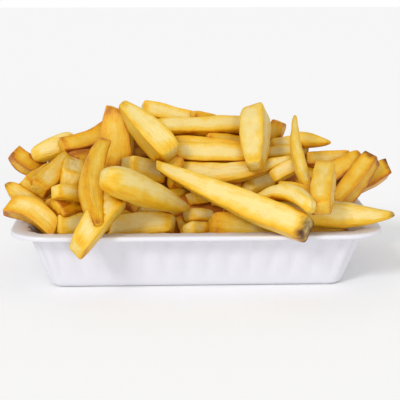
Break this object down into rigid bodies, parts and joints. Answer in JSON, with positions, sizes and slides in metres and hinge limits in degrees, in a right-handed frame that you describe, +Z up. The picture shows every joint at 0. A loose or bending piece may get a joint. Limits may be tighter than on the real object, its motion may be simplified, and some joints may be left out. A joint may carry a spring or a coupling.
{
  "type": "french fries portion",
  "caption": "Heap of thick-cut french fries piled over the rim of a white ribbed disposable plastic tray with a flat flange and a turned-down lip",
  "frame": {"origin": "middle of the tray's flat base, on the surface it rests on", "axes": "+Z up, +X along the tray's long side, -Y towards the viewer of the picture"},
  "size_m": [0.2074, 0.1314, 0.0916],
  "materials": {
    "tray_plastic": "white moulded plastic, satin",
    "fried_potato": "fried potato, soft oily sheen"
  },
  "bodies": {
    "root": {"tray": "tray_plastic", "fries": "fried_potato"}
  },
  "joints": []
}
